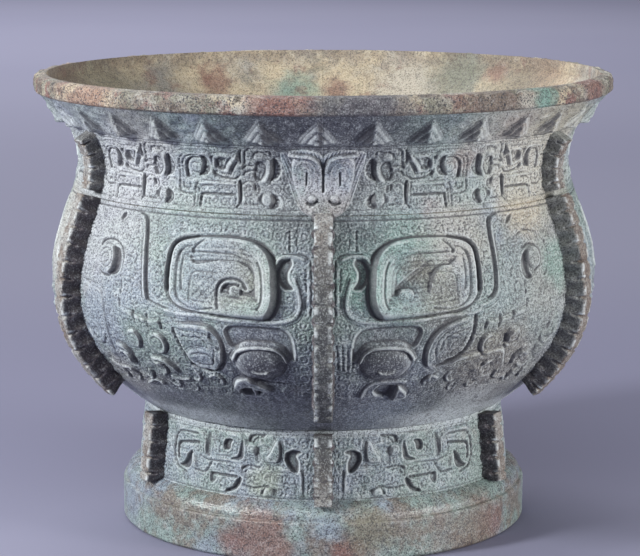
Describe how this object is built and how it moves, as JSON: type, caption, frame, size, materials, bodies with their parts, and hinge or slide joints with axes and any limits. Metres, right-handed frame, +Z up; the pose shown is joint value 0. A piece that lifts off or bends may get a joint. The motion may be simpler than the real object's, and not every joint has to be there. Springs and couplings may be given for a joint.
{
  "type": "bronze gui vessel",
  "caption": "Wide bronze ritual food bowl without handles: flared lip, bulging belly with masks, notched vertical flanges, animal heads on the neck, and a ring foot to stand on.",
  "frame": {"origin": "on the table under the middle of the ring foot", "axes": "+Z up along the vessel's axis; the front, with an animal head over the middle of a mask, faces -Y; +X to the right seen from the front"},
  "size_m": [0.25, 0.2534, 0.195],
  "materials": {
    "bowl_patina": "grey-green corroded patina with pale worn edges and dark recesses, dull",
    "foot_patina": "grey-green patina with reddish-brown patches on the plain base band, dull",
    "flange_patina": "dark brown to black patina with pale worn notched edges, dull",
    "head_patina": "pale grey-green patina, dull",
    "spacer_bronze": "brown cast bronze, dull"
  },
  "bodies": {
    "root": {"bowl": "bowl_patina", "ring_foot": "foot_patina", "belly_flange_1": "flange_patina", "belly_flange_2": "flange_patina", "belly_flange_3": "flange_patina", "belly_flange_4": "flange_patina", "belly_flange_5": "flange_patina", "belly_flange_6": "flange_patina", "foot_flange_1": "flange_patina", "foot_flange_2": "flange_patina", "foot_flange_3": "flange_patina", "foot_flange_4": "flange_patina", "foot_flange_5": "flange_patina", "foot_flange_6": "flange_patina", "neck_flange_1": "flange_patina", "neck_flange_2": "flange_patina", "neck_flange_3": "flange_patina", "animal_head_1": "head_patina", "animal_head_2": "head_patina", "animal_head_3": "head_patina", "core_spacer_1": "spacer_bronze", "core_spacer_2": "spacer_bronze", "core_spacer_3": "spacer_bronze"}
  },
  "joints": []
}
